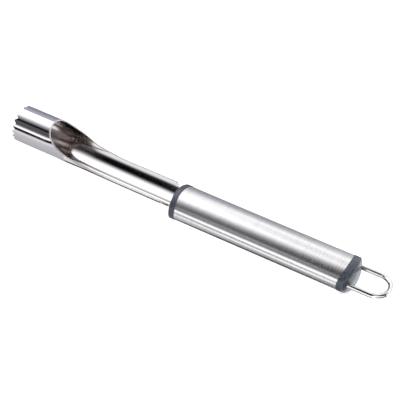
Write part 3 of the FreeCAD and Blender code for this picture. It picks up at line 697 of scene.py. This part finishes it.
def inside_steel_with_painted_shade():
    """The blade's inside, satin in the scoop, where a darker, browner colour paints the scoop's
    shade, and bright along the trough.
    """
    material, nodes, links, shader = new_material("inside_steel_with_painted_shade")
    shader.inputs["Metallic"].default_value = 1.0
    place_in = add_node(nodes, "ShaderNodeTexCoord")
    parts = add_node(nodes, "ShaderNodeSeparateXYZ")
    links.new(place_in.outputs["Object"], parts.inputs["Vector"])
    run = ((SATIN_END + TEETH_AT) * MM, (BRIGHT_START + TEETH_AT) * MM)
    along = mapped(nodes, links, parts.outputs["X"], run)
    rough = mixed(nodes, links, along, SATIN_ROUGH, BRIGHT_ROUGH, kind="FLOAT")
    # Painted shade: the scoop's end of this mix is the darker, browner steel colour
    tone = mixed(nodes, links, along, SCOOP_SHADE_STEEL, STEEL)
    links.new(rough, shader.inputs["Roughness"])
    links.new(tone, shader.inputs["Base Color"])
    return material


def brushed_steel():
    """Satin steel with fine hairlines round the girth."""
    material, nodes, links, shader = new_material("brushed_steel")
    shader.inputs["Metallic"].default_value = 1.0
    shader.inputs["Anisotropic"].default_value = BRUSHED_STRETCH
    shader.inputs["Anisotropic Rotation"].default_value = ROUND_THE_GIRTH
    tangent = add_node(nodes, "ShaderNodeTangent", direction_type="RADIAL", axis="X")
    links.new(tangent.outputs["Tangent"], shader.inputs["Tangent"])
    hairs = stretched_noise(nodes, links, *HAIRLINES)
    bands = stretched_noise(nodes, links, *GIRTH_BANDS)
    rough = mapped(nodes, links, hairs, USUAL_RANGE, BRUSHED_ROUGH)
    dark, light = (tuple(tone * part for part in STEEL) for tone in BRUSHED_TONES)
    tone = mixed(nodes, links, mapped(nodes, links, bands, USUAL_RANGE), dark, light)
    links.new(rough, shader.inputs["Roughness"])
    links.new(tone, shader.inputs["Base Color"])
    add_bump(nodes, links, shader, hairs, *HAIR_BUMP)
    return material


def slate_plastic():
    """Moulded slate-grey plastic with a fine mottle."""
    material, nodes, links, shader = new_material("slate_plastic")
    shader.inputs["Roughness"].default_value = PLASTIC_ROUGH
    shader.inputs["Specular Tint"].default_value = PLASTIC_GLOSS
    mottle = stretched_noise(nodes, links, *MOTTLE)
    share = mapped(nodes, links, mottle, USUAL_RANGE)
    tone = mixed(nodes, links, share, PLASTIC_DARK, PLASTIC_LIGHT)
    links.new(tone, shader.inputs["Base Color"])
    add_bump(nodes, links, shader, mottle, *MOTTLE_BUMP)
    return material


# Studio

def linear(level):
    """Scene light for a display level out of 255."""
    share = level / 255
    return share / 12.92 if share <= 0.04045 else ((share + 0.055) / 1.055) ** 2.4


def panel_ramp(nodes, links, share, panel, tints):
    """The light of one panel over the turn round the tool, so that steel shows its levels."""
    ramp = add_node(nodes, "ShaderNodeValToRGB")
    links.new(share, ramp.inputs["Fac"])
    elements = ramp.color_ramp.elements
    far_tint, near_tint, pale_tint = tints
    for index, (degrees, level) in enumerate(panel + ((180, panel[0][1]),)):
        element = elements[index] if index < 2 else elements.new(1.0)
        element.position = (degrees + 180) / 360
        tint = far_tint if FAR_SIDE[0] < degrees < FAR_SIDE[1] else near_tint
        if level >= PALE:
            tint = pale_tint
        element.color = [linear(level) * tinge / part for tinge, part in zip(tint, STEEL)] + [1.0]
    return ramp.outputs["Color"]


def calculated(nodes, links, operation, *values):
    node = add_node(nodes, "ShaderNodeMath", operation=operation)
    for socket, value in zip(node.inputs, values):
        if isinstance(value, (int, float)):
            socket.default_value = value
        else:
            links.new(value, socket)
    return node.outputs[0]


def studio_light(nodes, links):
    """The panels round the tool, by a direction's turn round X and its part along X."""
    toward = add_node(nodes, "ShaderNodeTexCoord")
    parts = add_node(nodes, "ShaderNodeSeparateXYZ")
    links.new(toward.outputs["Generated"], parts.inputs["Vector"])
    near = calculated(nodes, links, "MULTIPLY", parts.outputs["Y"], -1.0)
    turn = calculated(nodes, links, "ARCTAN2", near, parts.outputs["Z"])
    along = parts.outputs["X"]
    light = None
    for panel, tints, border in PANELS:
        angle = turn
        if panel is NECK_PANEL:
            off = calculated(nodes, links, "SUBTRACT", along, NECK_MIDDLE)
            off = calculated(nodes, links, "MAXIMUM", off, -NECK_REACH)
            off = calculated(nodes, links, "MINIMUM", off, NECK_REACH)
            angle = calculated(nodes, links, "MULTIPLY_ADD", off, NECK_SLANT, turn)
        share = calculated(nodes, links, "MULTIPLY_ADD", angle, 0.5 / math.pi, 0.5)
        colour = panel_ramp(nodes, links, share, panel, tints)
        if border:
            passing = mapped(nodes, links, along, border)
            colour = mixed(nodes, links, passing, light, colour)
        light = colour
    return light


def make_world():
    """A white background, a plain light, and the studio in what glossy rays see."""
    world = bpy.data.worlds.new("studio")
    bpy.context.scene.world = world
    world.use_nodes = True
    nodes, links = world.node_tree.nodes, world.node_tree.links
    nodes.clear()
    path = add_node(nodes, "ShaderNodeLightPath")
    plain = (SOFT_LIGHT, SOFT_LIGHT, SOFT_LIGHT)
    seen = mixed(nodes, links, path.outputs["Is Glossy Ray"], plain, studio_light(nodes, links))
    shown = mixed(nodes, links, path.outputs["Is Camera Ray"], seen, BACKGROUND)
    background = add_node(nodes, "ShaderNodeBackground")
    output = add_node(nodes, "ShaderNodeOutputWorld")
    links.new(shown, background.inputs["Color"])
    links.new(background.outputs["Background"], output.inputs["Surface"])


def make_lamp():
    data = bpy.data.lights.new("soft_lamp", "AREA")
    data.energy = LAMP_POWER
    data.size = LAMP_SIZE
    lamp = bpy.data.objects.new("soft_lamp", data)
    bpy.context.collection.objects.link(lamp)
    lamp.location = LAMP_PLACE
    lamp.rotation_euler = (-LAMP_PLACE).to_track_quat("-Z", "Y").to_euler()
    lamp.visible_glossy = False


def make_floor():
    """A white floor that keeps the object's shadow. Steel sees the studio in its place."""
    half = FLOOR_SIZE / 2
    mesh = bpy.data.meshes.new("floor")
    corners = [(-half, -half, 0.0), (half, -half, 0.0), (half, half, 0.0), (-half, half, 0.0)]
    mesh.from_pydata(corners, [], [(0, 1, 2, 3)])
    floor = bpy.data.objects.new("floor", mesh)
    bpy.context.collection.objects.link(floor)
    floor.location.z = -FLOOR_DROP
    floor.visible_glossy = False
    material, nodes, links, shader = new_material("floor")
    mesh.materials.append(material)
    shader.inputs["Base Color"].default_value = FLOOR_COLOUR
    shader.inputs["Roughness"].default_value = FLOOR_ROUGH
    shader.inputs["Specular IOR Level"].default_value = 0.0
    path = add_node(nodes, "ShaderNodeLightPath")
    lift = add_node(nodes, "ShaderNodeEmission")
    lift.inputs["Strength"].default_value = FLOOR_GLOW
    lifted = add_node(nodes, "ShaderNodeAddShader")
    links.new(shader.outputs["BSDF"], lifted.inputs[0])
    links.new(lift.outputs["Emission"], lifted.inputs[1])
    for_camera = add_node(nodes, "ShaderNodeMixShader")
    links.new(path.outputs["Is Camera Ray"], for_camera.inputs["Fac"])
    links.new(shader.outputs["BSDF"], for_camera.inputs[1])
    links.new(lifted.outputs["Shader"], for_camera.inputs[2])
    links.new(for_camera.outputs["Shader"], nodes["Material Output"].inputs["Surface"])


def make_camera():
    camera = bpy.data.objects.new("camera", bpy.data.cameras.new("camera"))
    bpy.context.collection.objects.link(camera)
    forward = (CAMERA_TARGET - CAMERA_PLACE).normalized()
    right = forward.cross(Vector((0.0, 0.0, 1.0))).normalized()
    up = right.cross(forward)
    turned_right = math.cos(CAMERA_ROLL) * right + math.sin(CAMERA_ROLL) * up
    turned_up = turned_right.cross(forward)
    axes = Matrix((turned_right, turned_up, -forward)).transposed()
    camera.matrix_world = Matrix.Translation(CAMERA_PLACE) @ axes.to_4x4()
    camera.data.lens = LENS
    camera.data.sensor_width = SENSOR
    camera.data.clip_start, camera.data.clip_end = CLIP
    bpy.context.scene.camera = camera


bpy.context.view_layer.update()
make_camera()
make_world()
make_lamp()
make_floor()
bpy.context.scene.view_settings.view_transform = "Standard"

plastic = slate_plastic()
blade_steel = [polished_steel("polished_steel", STEEL, MIRROR_ROUGH),
               inside_steel_with_painted_shade(),
               polished_steel("cut_edge", CUT_STEEL, CUT_ROUGH)]
add_piece("blade", patch_mesh("blade", *blade_patches()), blade_steel,
          "corer_blade")
add_piece("collar", patch_mesh("collar", collar_patches()), [plastic],
          "front_collar")
add_piece("sleeve", patch_mesh("sleeve", sleeve_patches()), [brushed_steel()],
          "handle_sleeve")
add_piece("cap", patch_mesh("cap", cap_patches()), [plastic], "rear_cap")
wire = polished_steel("loop_wire", STEEL, MIRROR_ROUGH)
add_piece("loop", patch_mesh("loop", loop_patches()), [wire], "hanging_loop")
